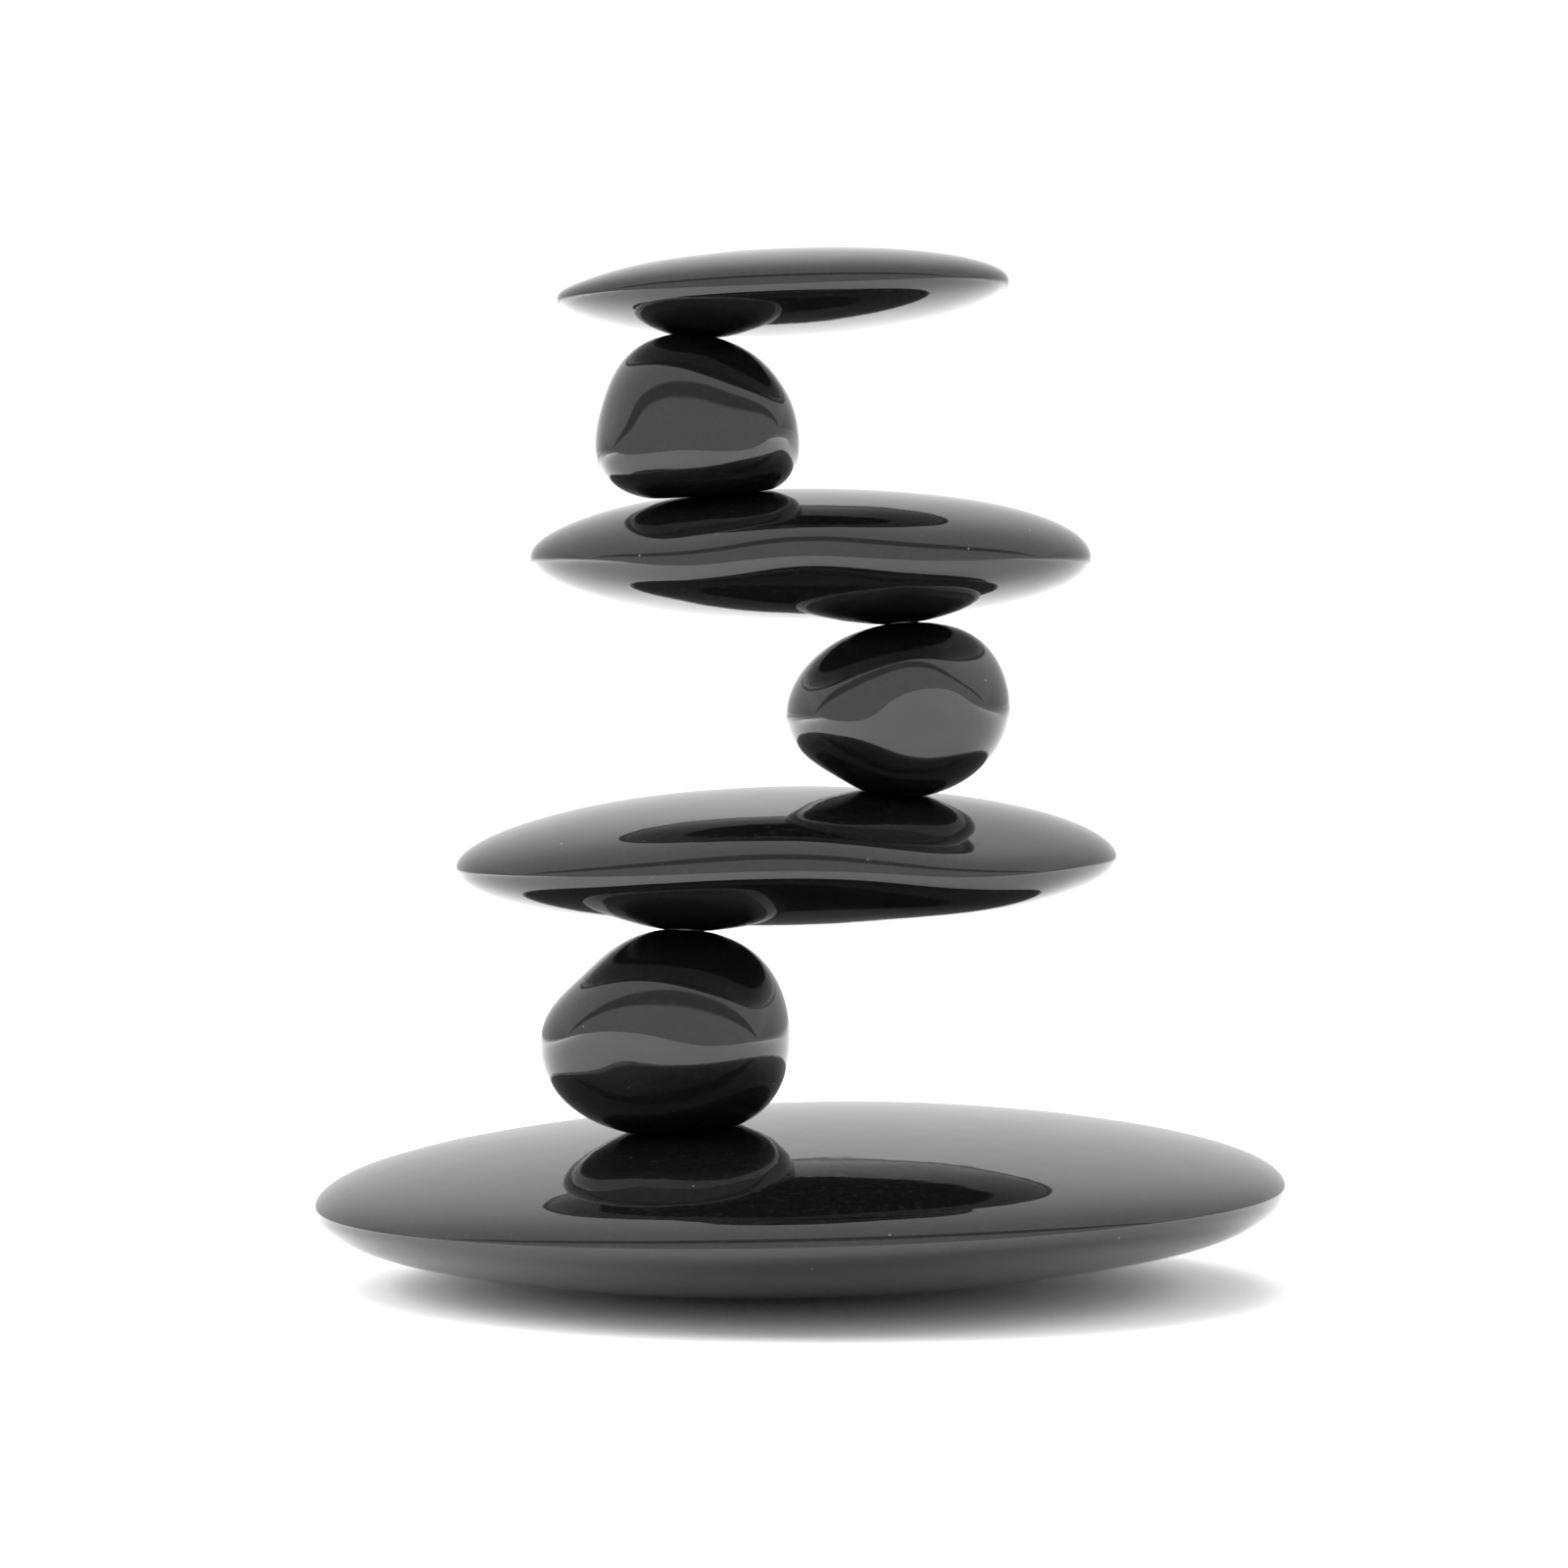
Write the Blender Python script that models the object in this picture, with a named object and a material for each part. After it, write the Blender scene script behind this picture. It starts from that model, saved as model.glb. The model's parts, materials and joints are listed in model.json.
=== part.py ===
"""A tower of seven polished basalt massage stones that stand on hidden dowel pins.

Lengths are in metres and angles in degrees. +Z is up, the front is -Y, and the origin is under the
middle of the base stone. Each stone is a worn pebble: an ellipsoid with soft local swellings. Where
one stone rests on the next, at its seat, the flat stone keeps its curve and the round one is worn
flat along the plane that touches it. A short steel pin stands across each seat in two drilled
sockets, square to that plane. The stone above turns about its pin, and lifts off along it.
"""
from dataclasses import dataclass
from math import cos, pi, radians, tan

import bmesh
import bpy
import numpy as np
from mathutils import Matrix, Vector

# Fits
STONE_GAP = 0.0003        # air between two stones at their seat
PIN_CLEARANCE = 0.0003    # air round a pin in its sockets, and past its ends
FOOT_DEPTH = 0.0005       # how much of the base stone's belly is ground away to make its flat foot
PIN_CHAMFER = 0.0004      # on both ends of each pin

# Fineness of the faceted solids
PIN_SIDES = 24
SOCKET_SIDES = 32

EAST, NORTH, UP = np.eye(3)


@dataclass
class Stone:
    """One stone: its size along its own axes, its tilt, and how it departs from an ellipsoid."""
    name: str
    length: float             # along its own X
    breadth: float            # along its own Y
    height: float             # along its own Z
    cuts: int                 # facets along each edge of the cube that the mesh grows from
    seat: tuple = (0, 90)     # azimuth and elevation of the spot where the next stone rests
    pitch: float = 0.0        # about Y: positive lowers the +X end
    yaw: float = 0.0          # about Z, before it is pitched
    dome: float = 0.0         # share of the half height by which both poles stand higher
    waist: float = 0.0        # share by which the shoulders are slimmer
    skew: float = 0.0         # sideways shift of the top, as a share of the half height
    swells: tuple = ()        # (azimuth, elevation, outward distance, spread in degrees)
    worn_under: float = 0.0   # how deep it is worn flat where it rests on the stone below
    worn_over: float = 0.0    # how deep it is worn flat where the next stone rests


@dataclass
class Pin:
    """One straight dowel pin, half in the stone below and half in the stone above."""
    name: str
    diameter: float
    length: float


STONES = (
    Stone("base_stone", 0.1492, 0.142, 0.0274, 14, seat=(-132, 70), pitch=-1.4, dome=-0.01, waist=0.033,
          swells=((180, 30, 0.0006, 30), (0, 30, 0.0003, 30), (180, -30, 0.0005, 30),
                  (0, -30, 0.0014, 30))),
    Stone("lower_round_stone", 0.038, 0.035, 0.0312, 9, seat=(32, 77.6), pitch=-1.3, dome=0.065,
          worn_under=0.0014, worn_over=0.0005,
          swells=((180, 45, -0.0021, 30), (0, 45, 0.0013, 30), (0, -45, 0.0012, 30),
                  (80, 20, 0.0008, 35), (-100, -15, -0.0011, 28), (-120, -15, -0.0011, 28))),
    Stone("lower_flat_stone", 0.1022, 0.082, 0.0222, 12, seat=(-38, 67.9), pitch=-0.8, yaw=8, dome=0.065,
          swells=((180, 35, -0.0003, 25), (0, -35, -0.0003, 25), (75, 10, 0.0012, 35),
                  (-97, 25, 0.0015, 25), (-97, -25, -0.0015, 25),
                  (-60, 25, -0.0012, 22), (-60, -25, 0.0012, 22))),
    Stone("middle_round_stone", 0.034, 0.031, 0.0266, 9, seat=(28, 82.6), pitch=-5.5, dome=0.035,
          worn_under=0.001, worn_over=0.0003,
          swells=((0, 45, 0.0015, 30), (180, -45, -0.0018, 30), (105, -15, 0.0008, 35),
                  (-90, 45, 0.0005, 32), (-75, 30, 0.002, 22), (-75, -15, -0.002, 32),
                  (-135, 30, 0.0003, 32))),
    Stone("middle_flat_stone", 0.0867, 0.066, 0.0214, 12, seat=(-134, 68.1), yaw=-8, dome=-0.011,
          waist=-0.016,
          swells=((180, 30, -0.0007, 25), (180, -30, -0.0006, 25), (110, 0, 0.001, 35),
                  (-113, 20, -0.0006, 16), (-113, -20, 0.0006, 16),
                  (-84, 20, 0.0007, 16), (-84, -20, -0.0007, 16))),
    Stone("upper_round_stone", 0.0312, 0.029, 0.0251, 9, seat=(38, 79.6), dome=0.21, waist=-0.03,
          skew=-0.186, worn_under=0.0012, worn_over=0.0005,
          swells=((180, 30, -0.0019, 35), (180, -45, 0.001, 30), (0, 45, 0.0007, 30),
                  (-30, 15, 0.0012, 22), (-135, -15, 0.0018, 22), (-150, -30, 0.0011, 22))),
    Stone("top_flat_stone", 0.070, 0.056, 0.0144, 10, pitch=-2.4, yaw=6, dome=-0.154,
          swells=((180, 30, -0.0008, 25), (0, 30, -0.0003, 25), (70, 0, 0.0008, 35))),
)

PINS = (
    Pin("base_pin", 0.005, 0.016),
    Pin("lower_round_pin", 0.005, 0.016),
    Pin("lower_flat_pin", 0.004, 0.012),
    Pin("middle_round_pin", 0.004, 0.012),
    Pin("middle_flat_pin", 0.003, 0.010),
    Pin("upper_round_pin", 0.003, 0.010),
)


# --- The shape of a stone ---------------------------------------------------------------------

def direction(azimuth, elevation):
    """Unit vectors for angles in degrees; azimuth runs from +X towards +Y."""
    azimuth = np.radians(azimuth)
    elevation = np.radians(elevation)
    level = np.cos(elevation)
    return np.stack([level * np.cos(azimuth), level * np.sin(azimuth), np.sin(elevation)], axis=-1)


def surface(stone, unit):
    """Points of the stone, in its own axes, for unit vectors out of its centre."""
    half = np.array([stone.length, stone.breadth, stone.height]) / 2
    rise = unit[..., 2:]
    point = unit * half * (1 - stone.waist * 4 * rise**2 * (1 - rise**2))
    point[..., 2:] += half[2] * stone.dome * rise**2
    point[..., :1] += half[2] * stone.skew * rise
    outward = unit / half
    outward /= np.linalg.norm(outward, axis=-1, keepdims=True)
    for azimuth, elevation, distance, spread in stone.swells:
        closeness = unit @ direction(azimuth, elevation)
        weight = np.exp((closeness - 1) / (1 - cos(radians(spread))))
        point += outward * (distance * weight)[..., None]
    return point


def turn(stone):
    """The stone's tilt as a 3 x 3 array."""
    pitch = Matrix.Rotation(radians(stone.pitch), 3, "Y")
    yaw = Matrix.Rotation(radians(stone.yaw), 3, "Z")
    return np.array(pitch @ yaw)


def spot_and_normal(stone, azimuth, elevation):
    """A point of the tilted stone about its own centre, and the outward normal there."""
    step = 0.05
    here = surface(stone, direction(azimuth, elevation))
    east = surface(stone, direction(azimuth + step, elevation))
    west = surface(stone, direction(azimuth - step, elevation))
    north = surface(stone, direction(azimuth, elevation + step))
    south = surface(stone, direction(azimuth, elevation - step))
    normal = np.cross(east - west, north - south)
    normal /= np.linalg.norm(normal)
    return turn(stone) @ here, turn(stone) @ normal


def farthest_spot(stone, along):
    """The point of the tilted stone that reaches farthest along a vector, about its own centre."""
    target = turn(stone).T @ along
    half = np.array([stone.length, stone.breadth, stone.height]) / 2
    guess = target * half
    best = guess / np.linalg.norm(guess)
    reach = 0.3
    while reach > 1e-6:
        offsets = np.linspace(-reach, reach, 13)
        dx, dy, dz = np.meshgrid(offsets, offsets, offsets)
        tries = best + np.stack([dx, dy, dz], axis=-1).reshape(-1, 3)
        tries /= np.linalg.norm(tries, axis=-1, keepdims=True)
        best = tries[np.argmax(surface(stone, tries) @ target)]
        reach /= 3
    return turn(stone) @ surface(stone, best)


def stack(stones):
    """Each stone's centre, and each seat's point and normal, from the base upwards."""
    base = stones[0]
    middle = sum(farthest_spot(base, along) for along in (EAST, -EAST, NORTH, -NORTH)) / 2
    lowest = farthest_spot(base, -UP)
    centre = np.array([-middle[0], -middle[1], -lowest[2] - FOOT_DEPTH])
    centres = [centre]
    seats = []
    for below, above in zip(stones, stones[1:]):
        spot, normal = spot_and_normal(below, *below.seat)
        point = centre + spot + normal * (STONE_GAP / 2 - below.worn_over)
        centre = point + normal * (STONE_GAP / 2 - above.worn_under) - farthest_spot(above, -normal)
        seats.append((point, normal))
        centres.append(centre)
    return centres, seats


# --- Objects ----------------------------------------------------------------------------------

def make_material(name, colour, roughness, metallic):
    material = bpy.data.materials.new(name)
    material.use_nodes = True
    material.diffuse_color = (*colour, 1.0)
    shader = material.node_tree.nodes["Principled BSDF"]
    shader.inputs["Base Color"].default_value = (*colour, 1.0)
    shader.inputs["Roughness"].default_value = roughness
    shader.inputs["Metallic"].default_value = metallic
    return material


def add_object(name, form, matrix, material=None):
    """Turns a bmesh into an object; form's coordinates are in the object's own axes."""
    mesh = bpy.data.meshes.new(name)
    form.to_mesh(mesh)
    form.free()
    mesh.shade_smooth()
    mesh.set_sharp_from_angle(angle=radians(40))
    if material:
        mesh.materials.append(material)
    piece = bpy.data.objects.new(name, mesh)
    piece.matrix_world = matrix
    bpy.context.scene.collection.objects.link(piece)
    return piece


def axis_matrix(point, axis):
    """A placement with its origin at point and its own Z along axis."""
    turned = Vector(axis).to_track_quat("Z", "Y").to_matrix().to_4x4()
    return Matrix.Translation(point) @ turned


def round_ball(cuts):
    """A unit ball made of six squared-up faces, each with cuts x cuts facets."""
    ball = bmesh.new()
    bmesh.ops.create_cube(ball, size=2.0)
    bmesh.ops.subdivide_edges(ball, edges=ball.edges[:], cuts=cuts - 1, use_grid_fill=True)
    for vertex in ball.verts:
        evened = Vector([tan(value * pi / 4) for value in vertex.co])
        vertex.co = evened.normalized()
    return ball


def wear_flat(points, spot, outward):
    """Presses points that stand proud of half a gap short of a seat's plane back to there."""
    proud = np.maximum((points - spot) @ outward + STONE_GAP / 2, 0)
    return points - np.outer(proud, outward)


def make_stone(stone, centre, origin, seats, material):
    """The stone as an object; seats holds a point and an outward direction for each of its seats."""
    form = round_ball(stone.cuts)
    units = np.array([vertex.co for vertex in form.verts])
    points = surface(stone, units) @ turn(stone).T + centre
    for spot, outward in seats:
        points = wear_flat(points, spot, outward)
    for vertex, point in zip(form.verts, (points - origin) @ turn(stone)):
        vertex.co = point
    tilt = Matrix(turn(stone).tolist()).to_4x4()
    return add_object(stone.name, form, Matrix.Translation(origin) @ tilt, material)


def turned_bar(radius, half_length, chamfer, sides):
    """A round bar about Z, from -half_length to half_length, with both ends chamfered."""
    bar = bmesh.new()
    bmesh.ops.create_cone(bar, cap_ends=True, segments=sides, radius1=radius, radius2=radius,
                          depth=2 * half_length)
    if chamfer:
        rims = [edge for edge in bar.edges if abs(edge.verts[0].co.z - edge.verts[1].co.z) < chamfer]
        bmesh.ops.bevel(bar, geom=rims, offset=chamfer, segments=1, affect="EDGES")
    return bar


def make_pin(pin, point, axis, material):
    bar = turned_bar(pin.diameter / 2, pin.length / 2, PIN_CHAMFER, PIN_SIDES)
    return add_object(pin.name, bar, axis_matrix(point, axis), material)


def make_socket_cutter(pin, point, axis):
    """One drill for both sockets of a pin; its flats clear the pin by PIN_CLEARANCE."""
    radius = (pin.diameter / 2 + PIN_CLEARANCE) / cos(pi / SOCKET_SIDES)
    bar = turned_bar(radius, pin.length / 2 + PIN_CLEARANCE, 0, SOCKET_SIDES)
    cutter = add_object(pin.name + "_drill", bar, axis_matrix(point, axis))
    cutter.hide_render = True
    cutter.display_type = "WIRE"
    return cutter


def make_foot_cutter(stone):
    """A slab under z = 0, which grinds the base stone's belly flat."""
    slab = bmesh.new()
    bmesh.ops.create_cube(slab, size=1.0)
    bmesh.ops.scale(slab, vec=(stone.length, stone.breadth, stone.height), verts=slab.verts)
    under = Matrix.Translation((0, 0, -stone.height / 2))
    cutter = add_object("foot_grinder", slab, under)
    cutter.hide_render = True
    cutter.display_type = "WIRE"
    return cutter


def cut(piece, cutter):
    modifier = piece.modifiers.new(cutter.name, "BOOLEAN")
    modifier.operation = "DIFFERENCE"
    modifier.solver = "EXACT"
    modifier.object = cutter


def stand_on(piece, below):
    """Parents piece to below and leaves both where they are."""
    piece.parent = below
    piece.matrix_parent_inverse = below.matrix_world.inverted()


def build():
    for old in list(bpy.data.objects):
        bpy.data.objects.remove(old, do_unlink=True)
    basalt = make_material("polished_basalt", (0.012, 0.012, 0.013), 0.08, 0.0)
    steel = make_material("dowel_steel", (0.55, 0.56, 0.57), 0.3, 1.0)

    centres, seats = stack(STONES)
    origins = [np.zeros(3)] + [point for point, axis in seats]
    under = [[]] + [[(point, -axis)] for point, axis in seats]
    over = [[(point, axis)] for point, axis in seats] + [[]]
    pieces = [make_stone(stone, centre, origin, below + above, basalt)
              for stone, centre, origin, below, above in zip(STONES, centres, origins, under, over)]
    cut(pieces[0], make_foot_cutter(STONES[0]))
    pins = [make_pin(pin, *seat, steel) for pin, seat in zip(PINS, seats)]
    for pin, seat, below, above in zip(PINS, seats, pieces, pieces[1:]):
        drill = make_socket_cutter(pin, *seat)
        cut(below, drill)
        cut(above, drill)

    bpy.context.view_layer.update()
    for pin, below, above in zip(pins, pieces, pieces[1:]):
        stand_on(pin, below)
        stand_on(above, pin)


build()
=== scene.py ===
"""A tower of polished basalt massage stones on hidden dowel pins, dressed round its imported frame.

Lengths are in metres and angles in degrees unless a name says otherwise. +Z is up and the front
is -Y. Every stone and pin takes its place from the frame, and the flat stones and the pins their size
too. What is added here is the fine shape, the drilled sockets, the finishes, and the studio.
"""
import json
from collections import namedtuple
from math import cos, pi, radians, sin, tan

import bmesh
import bpy
import numpy as np
from bpy.props import FloatProperty, FloatVectorProperty, IntProperty, PointerProperty
from mathutils import Matrix, Vector, noise

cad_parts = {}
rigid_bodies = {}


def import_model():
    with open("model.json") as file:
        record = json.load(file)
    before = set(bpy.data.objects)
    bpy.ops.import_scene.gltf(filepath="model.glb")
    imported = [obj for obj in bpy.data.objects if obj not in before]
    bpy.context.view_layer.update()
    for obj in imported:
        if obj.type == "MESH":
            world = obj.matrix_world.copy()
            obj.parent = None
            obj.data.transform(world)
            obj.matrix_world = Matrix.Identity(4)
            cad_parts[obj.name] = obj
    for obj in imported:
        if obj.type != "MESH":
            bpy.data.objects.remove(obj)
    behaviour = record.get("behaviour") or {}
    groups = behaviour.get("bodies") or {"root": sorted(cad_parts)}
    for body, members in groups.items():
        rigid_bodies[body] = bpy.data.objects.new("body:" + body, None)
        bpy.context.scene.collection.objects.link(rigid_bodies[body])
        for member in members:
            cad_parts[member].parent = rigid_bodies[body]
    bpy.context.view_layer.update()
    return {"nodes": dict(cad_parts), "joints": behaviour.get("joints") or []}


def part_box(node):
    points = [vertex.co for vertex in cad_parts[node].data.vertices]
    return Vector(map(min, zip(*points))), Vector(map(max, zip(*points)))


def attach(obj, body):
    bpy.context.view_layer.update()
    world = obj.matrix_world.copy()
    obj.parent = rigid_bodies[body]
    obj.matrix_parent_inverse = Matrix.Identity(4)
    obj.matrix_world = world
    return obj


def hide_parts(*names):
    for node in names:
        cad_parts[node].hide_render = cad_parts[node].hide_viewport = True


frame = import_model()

bl_info = {
    "name": "Basalt Stone Tower",
    "version": (1, 0, 0),
    "blender": (4, 5, 0),
    "location": "3D View > Sidebar > Stone Tower",
    "description": "Builds a tower of polished massage stones round a packed frame",
    "category": "Add Mesh",
}

MM = 0.001
DRILL_POINT = 118    # angle of a twist drill's point
SHARP_ANGLE = 30     # edges that turn by more than this stay crisp
SOCKET_SIDES = 48
PIN_SIDES = 64

# Each stone's size and tilt, and how it departs from an ellipsoid. dome lifts both poles, waist
# slims the shoulders and skew shifts the top sideways, all as shares of a size; a swell is its
# azimuth, elevation, outward height in metres and spread in degrees. worn_under is how deep a round
# stone is worn flat where it rests, in metres.
FORMS = {
    "base_stone": dict(
        length=0.1492, breadth=0.142, height=0.0274, pitch=-1.4, dome=-0.01, waist=0.033,
        swells=((180, 30, 0.0006, 30), (0, 30, 0.0003, 30), (180, -30, 0.0005, 30),
                (0, -30, 0.0014, 30))),
    "lower_round_stone": dict(
        length=0.038, breadth=0.035, height=0.0312, pitch=-1.3, dome=0.065,
        worn_under=0.0014,
        swells=((180, 45, -0.0021, 30), (0, 45, 0.0013, 30), (0, -45, 0.0012, 30),
                (80, 20, 0.0008, 35), (-100, -15, -0.0011, 28), (-120, -15, -0.0011, 28))),
    "lower_flat_stone": dict(
        length=0.1022, breadth=0.082, height=0.0222, pitch=-0.8, yaw=8, dome=0.065,
        swells=((180, 35, -0.0003, 25), (0, -35, -0.0003, 25), (75, 10, 0.0012, 35),
                (-97, 25, 0.0015, 25), (-97, -25, -0.0015, 25),
                (-60, 25, -0.0012, 22), (-60, -25, 0.0012, 22))),
    "middle_round_stone": dict(
        length=0.034, breadth=0.031, height=0.0266, pitch=-5.5, dome=0.035,
        worn_under=0.001,
        swells=((0, 45, 0.0015, 30), (180, -45, -0.0018, 30), (105, -15, 0.0008, 35),
                (-90, 45, 0.0005, 32), (-75, 30, 0.002, 22), (-75, -15, -0.002, 32),
                (-135, 30, 0.0003, 32))),
    "middle_flat_stone": dict(
        length=0.0867, breadth=0.066, height=0.0214, yaw=-8, dome=-0.011, waist=-0.016,
        swells=((180, 30, -0.0007, 25), (180, -30, -0.0006, 25), (110, 0, 0.001, 35),
                (-113, 20, -0.0006, 16), (-113, -20, 0.0006, 16),
                (-84, 20, 0.0007, 16), (-84, -20, -0.0007, 16))),
    "upper_round_stone": dict(
        length=0.0312, breadth=0.029, height=0.0251, dome=0.21, waist=-0.03, skew=-0.186,
        worn_under=0.0012,
        swells=((180, 30, -0.0019, 35), (180, -45, 0.001, 30), (0, 45, 0.0007, 30),
                (-30, 15, 0.0012, 22), (-135, -15, 0.0018, 22), (-150, -30, 0.0011, 22))),
    "top_flat_stone": dict(
        length=0.070, breadth=0.056, height=0.0144, pitch=-2.4, yaw=6, dome=-0.154,
        swells=((180, 30, -0.0008, 25), (0, 30, -0.0003, 25), (70, 0, 0.0008, 35))),
}
FLAT_STONES = ("base_stone", "lower_flat_stone", "middle_flat_stone", "top_flat_stone")
ROUND_STONES = ("lower_round_stone", "middle_round_stone", "upper_round_stone")

# What the polished stones mirror, by angle round the X axis, from 0 at the front through 90 overhead,
# and brightness. The dark band is the gap between two soft boxes that run left to right, and the far
# wall is a little darker than they are.
SURROUNDINGS = ((-180, 1.2), (-90, 1.2), (37, 1.2), (41, 0.45), (57, 0.45), (60, 1.25),
                (135, 1.25), (160, 1.0), (180, 0.9))
BACKDROP = 1.05    # how bright the far wall looks from the camera itself

# The soft panels that light the paper: name, place, size and power in watts. All face the tower.
PANELS = (
    ("overhead_panel", (-0.5, 0.9, 1.5), 2.4, 54),
    ("left_panel", (-0.9, 0.1, 0.35), 0.7, 14),
    ("right_panel", (0.9, 0.1, 0.35), 0.7, 7),
)


# --- Settings ---------------------------------------------------------------------------------

def hex_colour(text):
    """The linear colour of an sRGB hex value."""
    parts = [int(text[i:i + 2], 16) / 255 for i in (1, 3, 5)]
    return tuple(p / 12.92 if p <= 0.04045 else ((p + 0.055) / 1.055) ** 2.4 for p in parts)


def shade(colour, factor):
    """A colour made darker by a factor."""
    return tuple(factor * part for part in colour)


def length_setting(name, default, description):
    return FloatProperty(name=name, description=description, default=default, min=0.0,
                         precision=5, subtype="DISTANCE", unit="LENGTH")


def share_setting(name, default, description):
    return FloatProperty(name=name, description=description, default=default, min=0.0,
                         precision=3)


def colour_setting(name, default, description):
    return FloatVectorProperty(name=name, description=description, default=hex_colour(default),
                               min=0.0, max=1.0, subtype="COLOR")


class STONES_PG_settings(bpy.types.PropertyGroup):
    """Sizes and colours of the tower and its studio."""
    flat_cuts: IntProperty(
        name="Flat stone fineness", description="Facets along each edge of a flat stone's cube",
        default=96, min=8, max=160)
    round_cuts: IntProperty(
        name="Round stone fineness", description="Facets along each edge of a round stone's cube",
        default=72, min=8, max=160)
    wave_height: length_setting(
        "Wave height", 0.03 * MM, "Height of the hollows that hand polishing leaves")
    wave_length: length_setting(
        "Wave length", 12 * MM, "Distance from one such hollow to the next")
    seat_gap: length_setting(
        "Seat gap", 0.02 * MM, "Air left where one stone rests on the next")
    seat_spread: length_setting(
        "Seat spread", 7 * MM, "How far round its seat a stone is eased to meet its neighbour")
    seat_clearance: length_setting(
        "Seat clearance", 0.3 * MM, "Air between two stones at their seat in the frame")
    flat_edge: length_setting(
        "Flat edge", 0.12 * MM, "How softly a round stone's worn flats run into its curve")
    foot_depth: length_setting(
        "Foot depth", 0.5 * MM, "How much of the base stone's belly is ground flat")
    drill_clearance: length_setting(
        "Drill clearance", 0.3 * MM, "Air round a pin in its sockets, and past its ends")
    countersink: length_setting(
        "Countersink", 0.3 * MM, "Width of the eased edge round each socket's mouth")
    pin_edge: length_setting(
        "Pin edge", 0.4 * MM, "Chamfer on a pin's upper end and dome on its lower one")
    basalt_colour: colour_setting("Basalt", "#0b0b0c", "Colour of the polished stone's body")
    crystal_colour: colour_setting("Crystals", "#242425", "Colour of its palest fine crystals")
    speck_colour: colour_setting("Specks", "#77777a", "Colour of its few larger feldspar specks")
    honed_colour: colour_setting("Honed basalt", "#3a3a3b", "Colour where it is ground or drilled")
    steel_colour: colour_setting("Steel", "#bdbfc2", "Colour of the dowel pins")
    floor_colour: colour_setting("Floor", "#f7f7f7", "Colour of the studio floor")
    basalt_ior: share_setting("Basalt IOR", 1.6, "How strongly the polished stone mirrors")
    basalt_roughness: share_setting("Basalt roughness", 0.03, "Blur of its reflections")
    camera_distance: length_setting("Camera distance", 0.9, "From the lens to the tower's middle")
    camera_height: length_setting("Camera height", 0.1087, "Height of the lens above the floor")
    camera_side: FloatProperty(
        name="Camera side", description="Place of the lens along X", default=-0.00246,
        precision=5, subtype="DISTANCE", unit="LENGTH")
    camera_dip: FloatProperty(
        name="Camera dip", description="How far the lens points down", default=radians(2.015),
        subtype="ANGLE", unit="ROTATION")
    focal_length: FloatProperty(
        name="Focal length", description="On a 36 mm wide sensor, in millimetres", default=134.3)


# --- The shape of a stone ---------------------------------------------------------------------

def direction(azimuth, elevation):
    """Unit vector for angles in degrees; azimuth runs from +X towards +Y."""
    azimuth = radians(azimuth)
    elevation = radians(elevation)
    return np.array([cos(elevation) * cos(azimuth), cos(elevation) * sin(azimuth), sin(elevation)])


def ball_form(cuts):
    """A unit ball grown from a cube whose six faces have cuts x cuts facets each."""
    form = bmesh.new()
    bmesh.ops.create_cube(form, size=2.0)
    bmesh.ops.subdivide_edges(form, edges=form.edges[:], cuts=cuts - 1, use_grid_fill=True)
    for vertex in form.verts:
        vertex.co = Vector([tan(value * pi / 4) for value in vertex.co]).normalized()
    return form


def worn_surface(shape, unit):
    """Points and outward directions of a stone about its own centre, tilted as it stands."""
    half = np.array([shape["length"], shape["breadth"], shape["height"]]) / 2
    rise = unit[:, 2:]
    point = unit * half * (1 - shape.get("waist", 0) * 4 * rise**2 * (1 - rise**2))
    point[:, 2:] += half[2] * shape.get("dome", 0) * rise**2
    point[:, :1] += half[2] * shape.get("skew", 0) * rise
    outward = unit / half
    outward /= np.linalg.norm(outward, axis=1, keepdims=True)
    for azimuth, elevation, height, spread in shape["swells"]:
        closeness = unit @ direction(azimuth, elevation)
        weight = np.exp((closeness - 1) / (1 - cos(radians(spread))))
        point += outward * (height * weight)[:, None]
    pitch = Matrix.Rotation(radians(shape.get("pitch", 0)), 3, "Y")
    yaw = Matrix.Rotation(radians(shape.get("yaw", 0)), 3, "Z")
    tilt = np.array(pitch @ yaw).T
    return point @ tilt, outward @ tilt


def fit_to_box(points, low, high):
    """Moves and scales points, axis by axis, until they fill a box."""
    span = (high - low) / (points.max(axis=0) - points.min(axis=0))
    return (points - points.min(axis=0)) * span + low


def polish_waves(points, settings):
    """The slow hollows and rises that hand polishing leaves, as heights."""
    scale = 1 / settings.wave_length
    slow = [noise.noise(Vector(p * scale)) for p in points]
    # Closer and shallower ones, taken from elsewhere in the noise so that they don't echo the first.
    quick = [noise.noise(Vector(p * scale * 2.3 + 40)) for p in points]
    return settings.wave_height * (np.array(slow) + 0.35 * np.array(quick))


# --- Seats and pins ---------------------------------------------------------------------------

Seat = namedtuple("Seat", "pin point axis below above")


def seats():
    """Where each pin stands: a point of its axis, the axis upwards, and the stones it joins."""
    above = {joint["parent"]: joint["child"] for joint in frame["joints"]
             if joint["type"] == "slide"}
    return [Seat(joint["child"], np.array(joint["pos_m"]), np.array(joint["axis"]),
                 joint["parent"], above[joint["child"]])
            for joint in frame["joints"] if joint["type"] == "hinge"]


def pin_size(seat):
    """The radius and half length of a seat's pin in the frame."""
    vertices = frame["nodes"][seat.pin].data.vertices
    offsets = np.array([vertex.co for vertex in vertices]) - seat.point
    along = offsets @ seat.axis
    across = np.linalg.norm(offsets - along[:, None] * seat.axis, axis=1)
    return across.max(), along.max()


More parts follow.
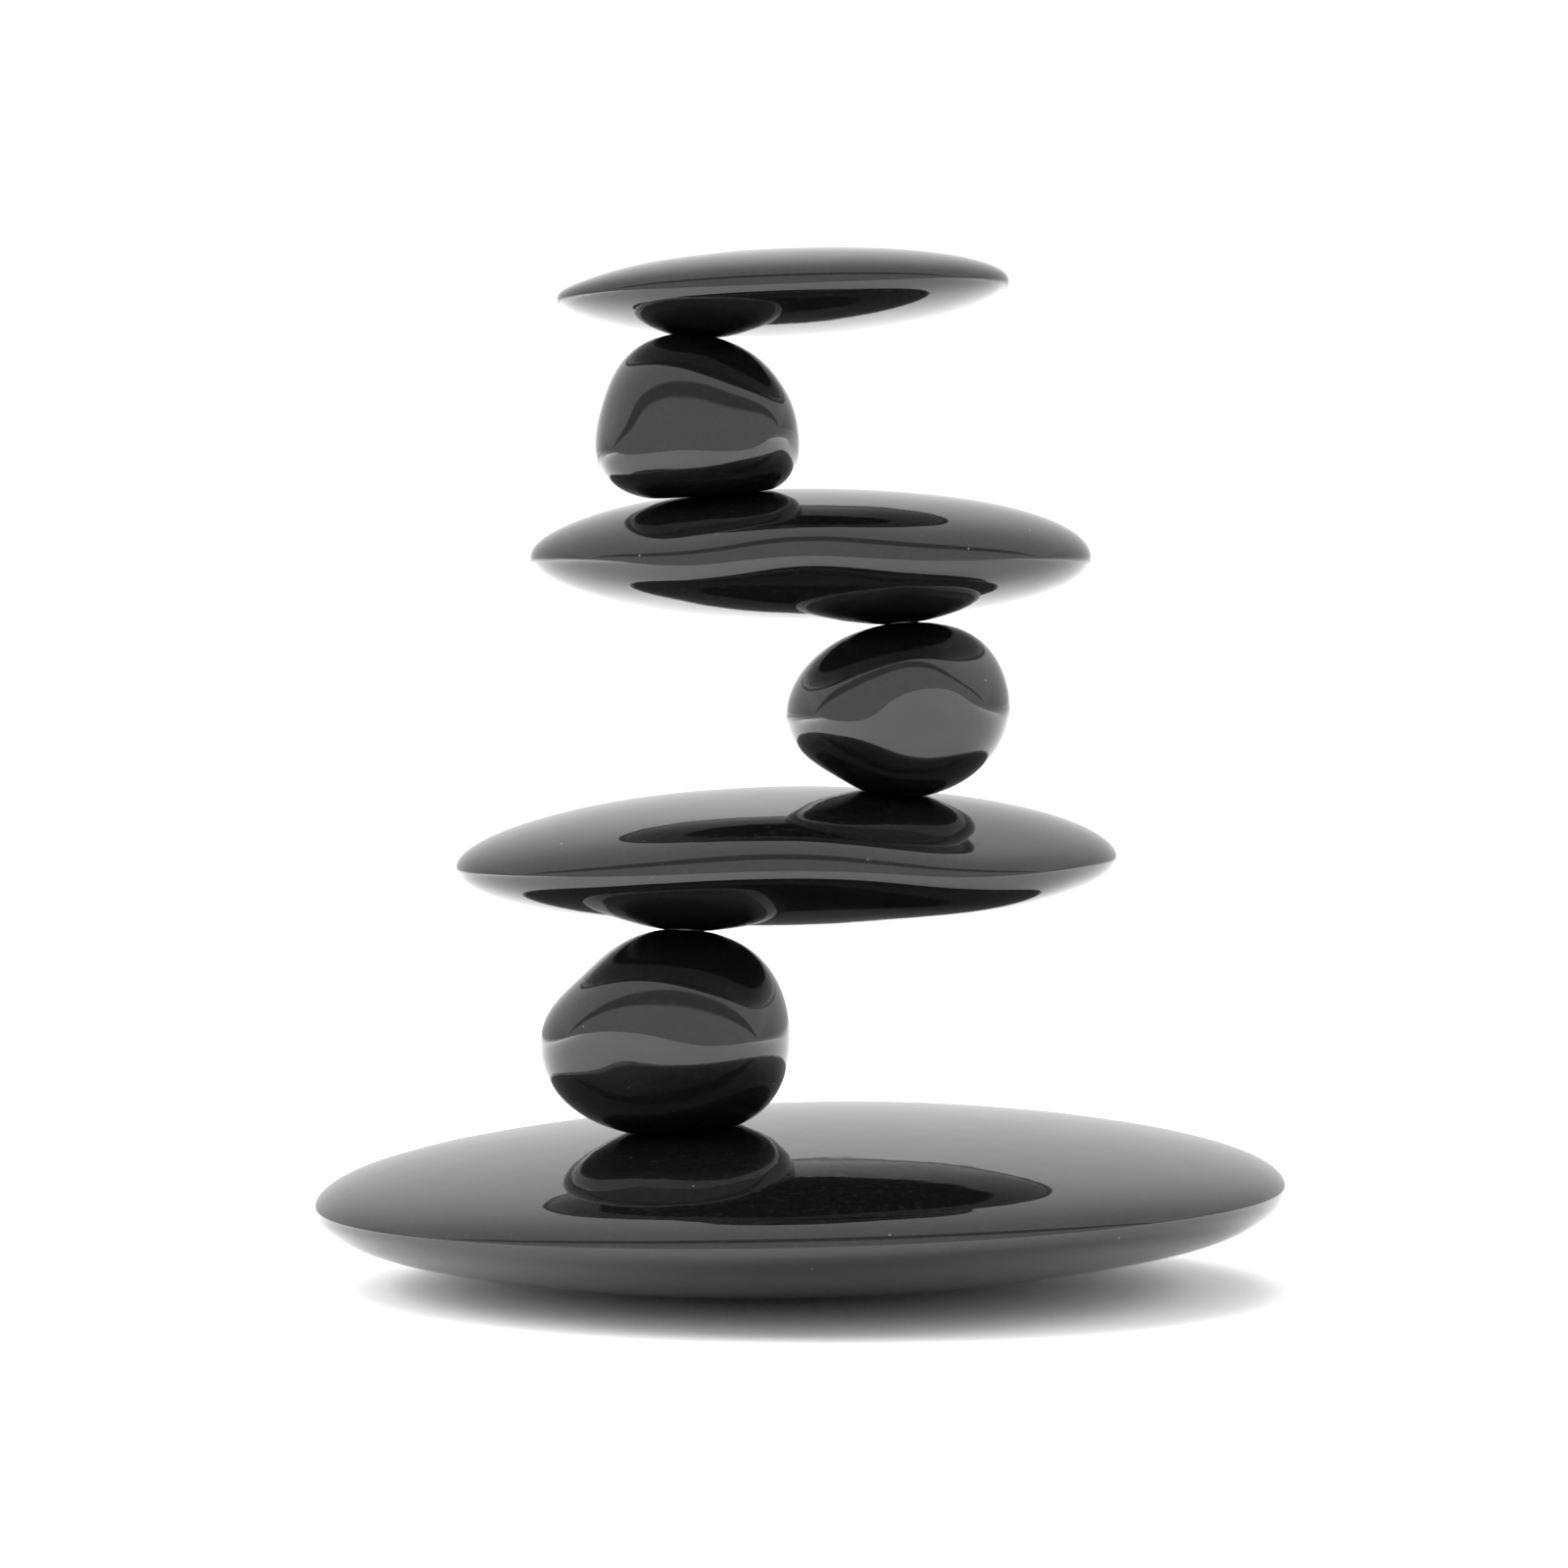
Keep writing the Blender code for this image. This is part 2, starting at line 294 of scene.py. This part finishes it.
def set_on_seat(points, seat, depth):
    """Moves a round stone until it reaches depth under its lower seat's plane, square to the seat."""
    reach = -points @ seat.axis
    spot = points[reach > reach.max() - 0.01 * MM].mean(axis=0)
    points = points + seat.point - spot
    reached = ((seat.point - points) @ seat.axis).max()
    return points - seat.axis * (depth - reached)


def meet_plane(points, point, outward, settings):
    """Eases a flat stone's curve round a seat until it comes to half the seat gap from its plane."""
    offsets = points - point
    along = offsets @ outward
    lift = -settings.seat_gap / 2 - along.max()
    across = np.linalg.norm(offsets - along[:, None] * outward, axis=1)
    near = np.exp(-(across / settings.seat_spread) ** 2) * (along > -2 * settings.seat_spread)
    return points + outward * (lift * near)[:, None]


def wear_flat(points, point, outward, settings):
    """Presses a round stone back to half the seat gap from a seat's plane, with a soft edge."""
    proud = (points - point) @ outward + settings.seat_gap / 2
    edge = settings.flat_edge
    rounded = (proud + edge) ** 2 / (4 * edge)
    pressed = np.where(proud > edge, proud, np.where(proud > -edge, rounded, 0.0))
    return points - np.outer(pressed, outward)


def axis_matrix(point, axis):
    """A placement with its origin at point and its own Z along axis."""
    return Matrix.Translation(point) @ Vector(axis).to_track_quat("Z", "Y").to_matrix().to_4x4()


def lathe_form(profile, sides):
    """A solid turned about Z from (radius, height) points, from its bottom to its top."""
    form = bmesh.new()
    rings = []
    for radius, height in profile:
        if radius == 0:
            rings.append([form.verts.new((0, 0, height))])
            continue
        turns = [2 * pi * i / sides for i in range(sides)]
        rings.append([form.verts.new((radius * cos(t), radius * sin(t), height)) for t in turns])
    for lower, upper in zip(rings, rings[1:]):
        for i in range(sides):
            j = (i + 1) % sides
            corners = [lower[i % len(lower)], lower[j % len(lower)],
                       upper[j % len(upper)], upper[i % len(upper)]]
            form.faces.new(list(dict.fromkeys(corners)))
    return form


# --- Objects ----------------------------------------------------------------------------------

def add_piece(name, form, *materials):
    """Turns a bmesh in world coordinates into an object."""
    mesh = bpy.data.meshes.new(name)
    form.to_mesh(mesh)
    form.free()
    mesh.shade_smooth()
    for material in materials:
        mesh.materials.append(material)
    piece = bpy.data.objects.new(name, mesh)
    bpy.context.scene.collection.objects.link(piece)
    return piece


def drill_form(radius, reach, settings):
    """A twist drill's path through both sockets of a pin, with eased mouths and pointed ends."""
    wide = radius + settings.countersink
    point = reach + radius * tan(radians(90 - DRILL_POINT / 2))
    path = [(0, -point), (radius, -reach), (radius, -settings.countersink), (wide, 0),
            (radius, settings.countersink), (radius, reach), (0, point)]
    return lathe_form(path, SOCKET_SIDES)


def drill(piece, seat, settings):
    """Cuts a pin's socket into a stone."""
    radius, reach = pin_size(seat)
    clearance = settings.drill_clearance
    form = drill_form(radius + clearance, reach + clearance, settings)
    form.transform(axis_matrix(seat.point, seat.axis))
    for face in form.faces:
        face.material_index = 1
    cutter = add_piece("drill", form, *piece.data.materials)
    cutting = piece.modifiers.new("drill", "BOOLEAN")
    cutting.operation = "DIFFERENCE"
    cutting.solver = "EXACT"
    cutting.object = cutter
    bake_modifiers(piece)
    bpy.data.objects.remove(cutter, do_unlink=True)


def bake_modifiers(piece):
    """Replaces the piece's mesh with its evaluated one."""
    graph = bpy.context.evaluated_depsgraph_get()
    graph.update()
    mesh = bpy.data.meshes.new_from_object(piece.evaluated_get(graph))
    piece.modifiers.clear()
    piece.data = mesh


def grind_foot(form):
    """Cuts the form off flat at the floor."""
    everything = form.verts[:] + form.edges[:] + form.faces[:]
    cut = bmesh.ops.bisect_plane(form, geom=everything, plane_co=(0, 0, 0), plane_no=(0, 0, 1),
                                 clear_inner=True)
    rim = [item for item in cut["geom_cut"] if isinstance(item, bmesh.types.BMEdge)]
    foot = bmesh.ops.contextual_create(form, geom=rim)
    for face in foot["faces"]:
        face.material_index = 1


def make_stone(node, cuts, settings):
    """One stone, built in place and drilled for its pins."""
    shape = FORMS[node]
    form = ball_form(cuts)
    points, outward = worn_surface(shape, np.array([vertex.co for vertex in form.verts]))
    points += outward * polish_waves(points, settings)[:, None]
    if "worn_under" in shape:
        lower = next(seat for seat in seats() if seat.above == node)
        points = set_on_seat(points, lower, shape["worn_under"] - settings.seat_clearance / 2)
        meet = wear_flat
    else:
        low, high = (np.array(corner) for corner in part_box(node))
        if node == "base_stone":
            low[2] -= settings.foot_depth
        points = fit_to_box(points, low, high)
        meet = meet_plane
    own = [seat for seat in seats() if node in (seat.below, seat.above)]
    for seat in own:
        side = 1 if node == seat.below else -1
        points = meet(points, seat.point, side * seat.axis, settings)
    for vertex, place in zip(form.verts, points):
        vertex.co = place
    if node == "base_stone":
        grind_foot(form)
    piece = add_piece("polished_" + node, form, polished_basalt(settings), honed_basalt(settings))
    for seat in own:
        drill(piece, seat, settings)
    piece.data.shade_smooth()
    piece.data.set_sharp_from_angle(angle=radians(SHARP_ANGLE))
    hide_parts(node)
    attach(piece, node)


def make_pin(seat, settings):
    """A ground dowel pin: chamfered at its upper end and domed at its lower one."""
    radius, reach = pin_size(seat)
    edge = settings.pin_edge
    dome = [(radius * sin(t), -reach + edge * (1 - cos(t))) for t in np.radians((30, 60, 90))]
    chamfer = [(radius, reach - edge), (radius - 0.3 * edge, reach)]
    form = lathe_form([(0, -reach)] + dome + chamfer + [(0, reach)], PIN_SIDES)
    form.transform(axis_matrix(seat.point, seat.axis))
    piece = add_piece("ground_" + seat.pin, form, ground_steel(settings))
    piece.data.set_sharp_from_angle(angle=radians(SHARP_ANGLE))
    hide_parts(seat.pin)
    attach(piece, seat.pin)


# --- Materials --------------------------------------------------------------------------------

def add_node(tree, kind, inputs=None, **settings):
    """Adds a node; inputs gives each input's value, or the output socket to link to it."""
    node = tree.nodes.new(kind)
    for name, value in settings.items():
        setattr(node, name, value)
    for name, value in (inputs or {}).items():
        if isinstance(value, bpy.types.NodeSocket):
            tree.links.new(value, node.inputs[name])
        else:
            node.inputs[name].default_value = value
    return node


def new_material(name):
    """An empty material with its output node, or the one already made."""
    old = bpy.data.materials.get(name)
    if old:
        return old, None, None
    material = bpy.data.materials.new(name)
    material.use_nodes = True
    tree = material.node_tree
    tree.nodes.clear()
    return material, tree, tree.nodes.new("ShaderNodeOutputMaterial")


def blend_nodes(tree, factor, low, high):
    """Mixes two colours by a factor socket; low is a linear colour or a socket."""
    mix = add_node(tree, "ShaderNodeMix", {"Factor": factor}, data_type="RGBA")
    if isinstance(low, bpy.types.NodeSocket):
        tree.links.new(low, mix.inputs["A"])
    else:
        mix.inputs["A"].default_value = (*low, 1)
    mix.inputs["B"].default_value = (*high, 1)
    return mix.outputs["Result"]


def map_range(tree, value, low, high, to_low, to_high):
    """Carries a value socket from one range to another, and holds it there."""
    node = add_node(tree, "ShaderNodeMapRange",
                    {"Value": value, "From Min": low, "From Max": high, "To Min": to_low,
                     "To Max": to_high})
    return node.outputs["Result"]


def polished_basalt(settings):
    """Basalt, tumbled and then hand polished to a mirror: near black, glassy, faintly wavy."""
    material, tree, output = new_material("hand_polished_basalt")
    if not tree:
        return material
    place = add_node(tree, "ShaderNodeTexCoord").outputs["Object"]
    # Fine feldspar laths are 0.1 to 0.3 mm; drawn at 0.9 mm so that they just show.
    grain = add_node(tree, "ShaderNodeTexNoise",
                     {"Vector": place, "Scale": 1 / (0.9 * MM), "Detail": 3.0})
    crystals = map_range(tree, grain.outputs["Fac"], 0.55, 0.8, 0.0, 0.6)
    dark = blend_nodes(tree, crystals, settings.basalt_colour, settings.crystal_colour)
    # A few larger specks, up to 0.4 mm across, one to each 6 mm cube of stone.
    scatter = add_node(tree, "ShaderNodeTexVoronoi", {"Vector": place, "Scale": 1 / (6 * MM)})
    specks = map_range(tree, scatter.outputs["Distance"], 0.02, 0.035, 0.8, 0.0)
    colour = blend_nodes(tree, specks, dark, settings.speck_colour)
    # Rubbing marks 0.3 mm wide and up to 8 mm long, in patches.
    stretch = add_node(tree, "ShaderNodeMapping", {"Vector": place, "Rotation": (0.4, 0.3, 0.9),
                                                   "Scale": (1 / (8 * MM), 1 / (0.3 * MM),
                                                             1 / (2 * MM))})
    marks = add_node(tree, "ShaderNodeTexNoise", {"Vector": stretch.outputs["Vector"],
                                                  "Scale": 1.0, "Detail": 1.0})
    scratches = map_range(tree, marks.outputs["Fac"], 0.68, 0.75, 0.0, 1.0)
    haze = add_node(tree, "ShaderNodeTexNoise", {"Vector": place, "Scale": 1 / (14 * MM),
                                                 "Detail": 2.0})
    smooth = settings.basalt_roughness
    softness = map_range(tree, haze.outputs["Fac"], 0.3, 0.7, smooth * 0.7, smooth * 1.5)
    roughness = add_node(tree, "ShaderNodeMath", {0: scratches, 1: 0.12, 2: softness},
                         operation="MULTIPLY_ADD").outputs["Value"]
    # Shallow ripples 3.5 mm apart that bend the edges of reflections, and pin pricks in the grain.
    ripple = add_node(tree, "ShaderNodeTexNoise", {"Vector": place, "Scale": 1 / (3.5 * MM),
                                                   "Detail": 1.0})
    bump = add_node(tree, "ShaderNodeBump", {"Height": ripple.outputs["Fac"],
                                             "Strength": 1.0, "Distance": 0.012 * MM})
    pits = map_range(tree, grain.outputs["Fac"], 0.2, 0.3, 0.0, 1.0)
    bump = add_node(tree, "ShaderNodeBump", {"Height": pits, "Strength": 0.5,
                                             "Distance": 0.01 * MM,
                                             "Normal": bump.outputs["Normal"]})
    shader = add_node(tree, "ShaderNodeBsdfPrincipled",
                      {"Base Color": colour, "Roughness": roughness, "IOR": settings.basalt_ior,
                       "Normal": bump.outputs["Normal"]})
    tree.links.new(shader.outputs["BSDF"], output.inputs["Surface"])
    return material


def honed_basalt(settings):
    """Basalt as a grinding wheel or drill leaves it: pale grey, dry and matt."""
    material, tree, output = new_material("ground_basalt")
    if not tree:
        return material
    place = add_node(tree, "ShaderNodeTexCoord").outputs["Object"]
    # Grinding grit marks about 0.4 mm apart.
    grit = add_node(tree, "ShaderNodeTexNoise", {"Vector": place, "Scale": 1 / (0.4 * MM),
                                                 "Detail": 4.0})
    colour = blend_nodes(tree, grit.outputs["Fac"], shade(settings.honed_colour, 0.6),
                         settings.honed_colour)
    bump = add_node(tree, "ShaderNodeBump", {"Height": grit.outputs["Fac"], "Strength": 0.6,
                                             "Distance": 0.04 * MM})
    roughness = map_range(tree, grit.outputs["Fac"], 0.3, 0.7, 0.6, 0.8)
    shader = add_node(tree, "ShaderNodeBsdfPrincipled",
                      {"Base Color": colour, "Roughness": roughness, "IOR": 1.5,
                       "Normal": bump.outputs["Normal"]})
    tree.links.new(shader.outputs["BSDF"], output.inputs["Surface"])
    return material


def ground_steel(settings):
    """Hardened steel, centreless ground: bright, with fine rings round the pin."""
    material, tree, output = new_material("ground_dowel_steel")
    if not tree:
        return material
    place = add_node(tree, "ShaderNodeTexCoord").outputs["Object"]
    # Grinding rings, drawn 0.25 mm apart; the pins stand nearly upright, so rings lie across Z.
    squash = add_node(tree, "ShaderNodeMapping", {"Vector": place,
                                                  "Scale": (1 / (6 * MM), 1 / (6 * MM),
                                                            1 / (0.25 * MM))})
    rings = add_node(tree, "ShaderNodeTexNoise", {"Vector": squash.outputs["Vector"],
                                                  "Scale": 1.0, "Detail": 2.0})
    bump = add_node(tree, "ShaderNodeBump", {"Height": rings.outputs["Fac"], "Strength": 0.3,
                                             "Distance": 0.01 * MM})
    colour = blend_nodes(tree, rings.outputs["Fac"], shade(settings.steel_colour, 0.8),
                         settings.steel_colour)
    roughness = map_range(tree, rings.outputs["Fac"], 0.3, 0.7, 0.2, 0.34)
    shader = add_node(tree, "ShaderNodeBsdfPrincipled",
                      {"Base Color": colour, "Roughness": roughness, "Metallic": 1.0,
                       "Normal": bump.outputs["Normal"]})
    tree.links.new(shader.outputs["BSDF"], output.inputs["Surface"])
    return material


def studio_paper(settings):
    """Seamless white background paper: matt, with a trace of fibre."""
    material, tree, output = new_material("white_studio_paper")
    if not tree:
        return material
    place = add_node(tree, "ShaderNodeTexCoord").outputs["Object"]
    fibre = add_node(tree, "ShaderNodeTexNoise", {"Vector": place, "Scale": 1 / (2 * MM)})
    colour = blend_nodes(tree, fibre.outputs["Fac"], shade(settings.floor_colour, 0.98),
                         settings.floor_colour)
    shader = add_node(tree, "ShaderNodeBsdfPrincipled",
                      {"Base Color": colour, "Roughness": 0.9, "Specular IOR Level": 0.1})
    tree.links.new(shader.outputs["BSDF"], output.inputs["Surface"])
    return material


# --- The studio -------------------------------------------------------------------------------

def make_floor(settings):
    """A sheet of paper under the tower; in front it ends where a tabletop would."""
    form = bmesh.new()
    corners = ((-3, -0.3), (3, -0.3), (3, 6), (-3, 6))
    form.faces.new([form.verts.new((x, y, 0)) for x, y in corners])
    floor = add_piece("studio_floor", form, studio_paper(settings))


def make_panel(name, place, size, power):
    """A soft panel that lights the paper and isn't itself mirrored in the stones."""
    lamp = bpy.data.lights.new(name, "AREA")
    lamp.shape = "SQUARE"
    lamp.size = size
    lamp.energy = power
    light = bpy.data.objects.new(name, lamp)
    light.location = place
    light.rotation_mode = "QUATERNION"
    light.rotation_quaternion = (-Vector(place)).to_track_quat("-Z", "Y")
    light.visible_glossy = False
    light.visible_camera = False
    bpy.context.scene.collection.objects.link(light)


def make_world():
    """A plain white far wall to the camera, and the SURROUNDINGS to everything else."""
    world = bpy.data.worlds.new("studio")
    bpy.context.scene.world = world
    world.use_nodes = True
    tree = world.node_tree
    tree.nodes.clear()
    output = tree.nodes.new("ShaderNodeOutputWorld")
    place = add_node(tree, "ShaderNodeTexCoord").outputs["Generated"]
    parts = add_node(tree, "ShaderNodeSeparateXYZ", {"Vector": place}).outputs
    front = add_node(tree, "ShaderNodeMath", {0: parts["Y"], 1: -1.0}, operation="MULTIPLY")
    angle = add_node(tree, "ShaderNodeMath", {0: parts["Z"], 1: front.outputs["Value"]},
                     operation="ARCTAN2")
    share = map_range(tree, angle.outputs["Value"], -pi, pi, 0.0, 1.0)
    ramp = add_node(tree, "ShaderNodeValToRGB", {"Fac": share})
    while len(ramp.color_ramp.elements) < len(SURROUNDINGS):
        ramp.color_ramp.elements.new(0.5)
    for stop, (degrees, level) in zip(ramp.color_ramp.elements, SURROUNDINGS):
        stop.position = degrees / 360 + 0.5
        stop.color = (level, level, level, 1)
    seen = add_node(tree, "ShaderNodeLightPath").outputs["Is Camera Ray"]
    colour = blend_nodes(tree, seen, ramp.outputs["Color"], (BACKDROP, BACKDROP, BACKDROP))
    background = add_node(tree, "ShaderNodeBackground", {"Color": colour})
    tree.links.new(background.outputs["Background"], output.inputs["Surface"])


def make_camera(settings):
    """A long lens a little above the tower's middle, looking slightly down."""
    lens = bpy.data.cameras.new("camera")
    lens.sensor_width = 36
    lens.lens = settings.focal_length
    lens.clip_start = 0.01
    camera = bpy.data.objects.new("camera", lens)
    camera.location = (settings.camera_side, -settings.camera_distance, settings.camera_height)
    camera.rotation_euler = (pi / 2 - settings.camera_dip, 0, 0)
    bpy.context.scene.collection.objects.link(camera)
    bpy.context.scene.camera = camera


# --- Operators --------------------------------------------------------------------------------

class STONES_OT_flat_stones(bpy.types.Operator):
    """Build the flat stones, from the base to the top"""
    bl_idname = "stones.flat_stones"
    bl_label = "Flat Stones"

    def execute(self, context):
        settings = context.scene.stone_tower
        for node in FLAT_STONES:
            make_stone(node, settings.flat_cuts, settings)
        return {"FINISHED"}


class STONES_OT_round_stones(bpy.types.Operator):
    """Build the round stones that stand between the flat ones"""
    bl_idname = "stones.round_stones"
    bl_label = "Round Stones"

    def execute(self, context):
        settings = context.scene.stone_tower
        for node in ROUND_STONES:
            make_stone(node, settings.round_cuts, settings)
        return {"FINISHED"}


class STONES_OT_pins(bpy.types.Operator):
    """Build the dowel pins that join the stones"""
    bl_idname = "stones.pins"
    bl_label = "Dowel Pins"

    def execute(self, context):
        for seat in seats():
            make_pin(seat, context.scene.stone_tower)
        return {"FINISHED"}


class STONES_OT_studio(bpy.types.Operator):
    """Build the floor, the lights, the surroundings and the camera"""
    bl_idname = "stones.studio"
    bl_label = "Studio"

    def execute(self, context):
        settings = context.scene.stone_tower
        make_floor(settings)
        for panel in PANELS:
            make_panel(*panel)
        make_world()
        make_camera(settings)
        context.scene.view_settings.view_transform = "Standard"
        return {"FINISHED"}


class STONES_PT_panel(bpy.types.Panel):
    """Lists the steps that build the tower"""
    bl_label = "Stone Tower"
    bl_idname = "STONES_PT_panel"
    bl_space_type = "VIEW_3D"
    bl_region_type = "UI"
    bl_category = "Stone Tower"

    def draw(self, context):
        settings = context.scene.stone_tower
        for name in STONES_PG_settings.__annotations__:
            self.layout.prop(settings, name)
        for operator in OPERATORS:
            self.layout.operator(operator.bl_idname)


OPERATORS = (STONES_OT_flat_stones, STONES_OT_round_stones, STONES_OT_pins, STONES_OT_studio)
CLASSES = (STONES_PG_settings, *OPERATORS, STONES_PT_panel)


def register():
    for each in CLASSES:
        bpy.utils.register_class(each)
    bpy.types.Scene.stone_tower = PointerProperty(type=STONES_PG_settings)


def unregister():
    del bpy.types.Scene.stone_tower
    for each in reversed(CLASSES):
        bpy.utils.unregister_class(each)


def main():
    register()
    bpy.ops.stones.flat_stones()
    bpy.ops.stones.round_stones()
    bpy.ops.stones.pins()
    bpy.ops.stones.studio()


if __name__ == "__main__":
    main()
